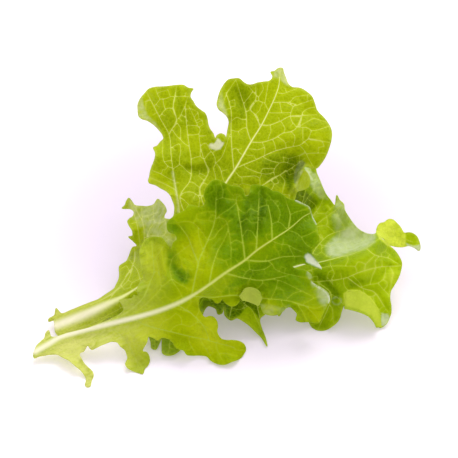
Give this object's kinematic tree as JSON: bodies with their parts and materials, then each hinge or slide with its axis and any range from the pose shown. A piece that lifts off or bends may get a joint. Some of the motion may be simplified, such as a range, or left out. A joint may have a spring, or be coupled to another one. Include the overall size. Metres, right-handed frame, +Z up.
{
  "type": "oak leaf lettuce",
  "caption": "Loose bunch of lobed, waved green lettuce leaves with pale stem ribs, lying over one another on a surface.",
  "frame": {"origin": "middle of the bunch's box, on the surface that the leaves lie on", "axes": "+Z up; +X from the stem ends towards the leaf tips; the front leaf is on the -Y side"},
  "size_m": [0.1922, 0.1572, 0.0799],
  "materials": {
    "front_leaf_green": "satin leaf, deeper green",
    "back_leaf_green": "satin leaf, yellow green",
    "under_leaf_green": "satin leaf, bright green"
  },
  "bodies": {
    "root": {"front_leaf": "front_leaf_green", "back_leaf": "back_leaf_green", "under_leaf": "under_leaf_green"}
  },
  "joints": []
}
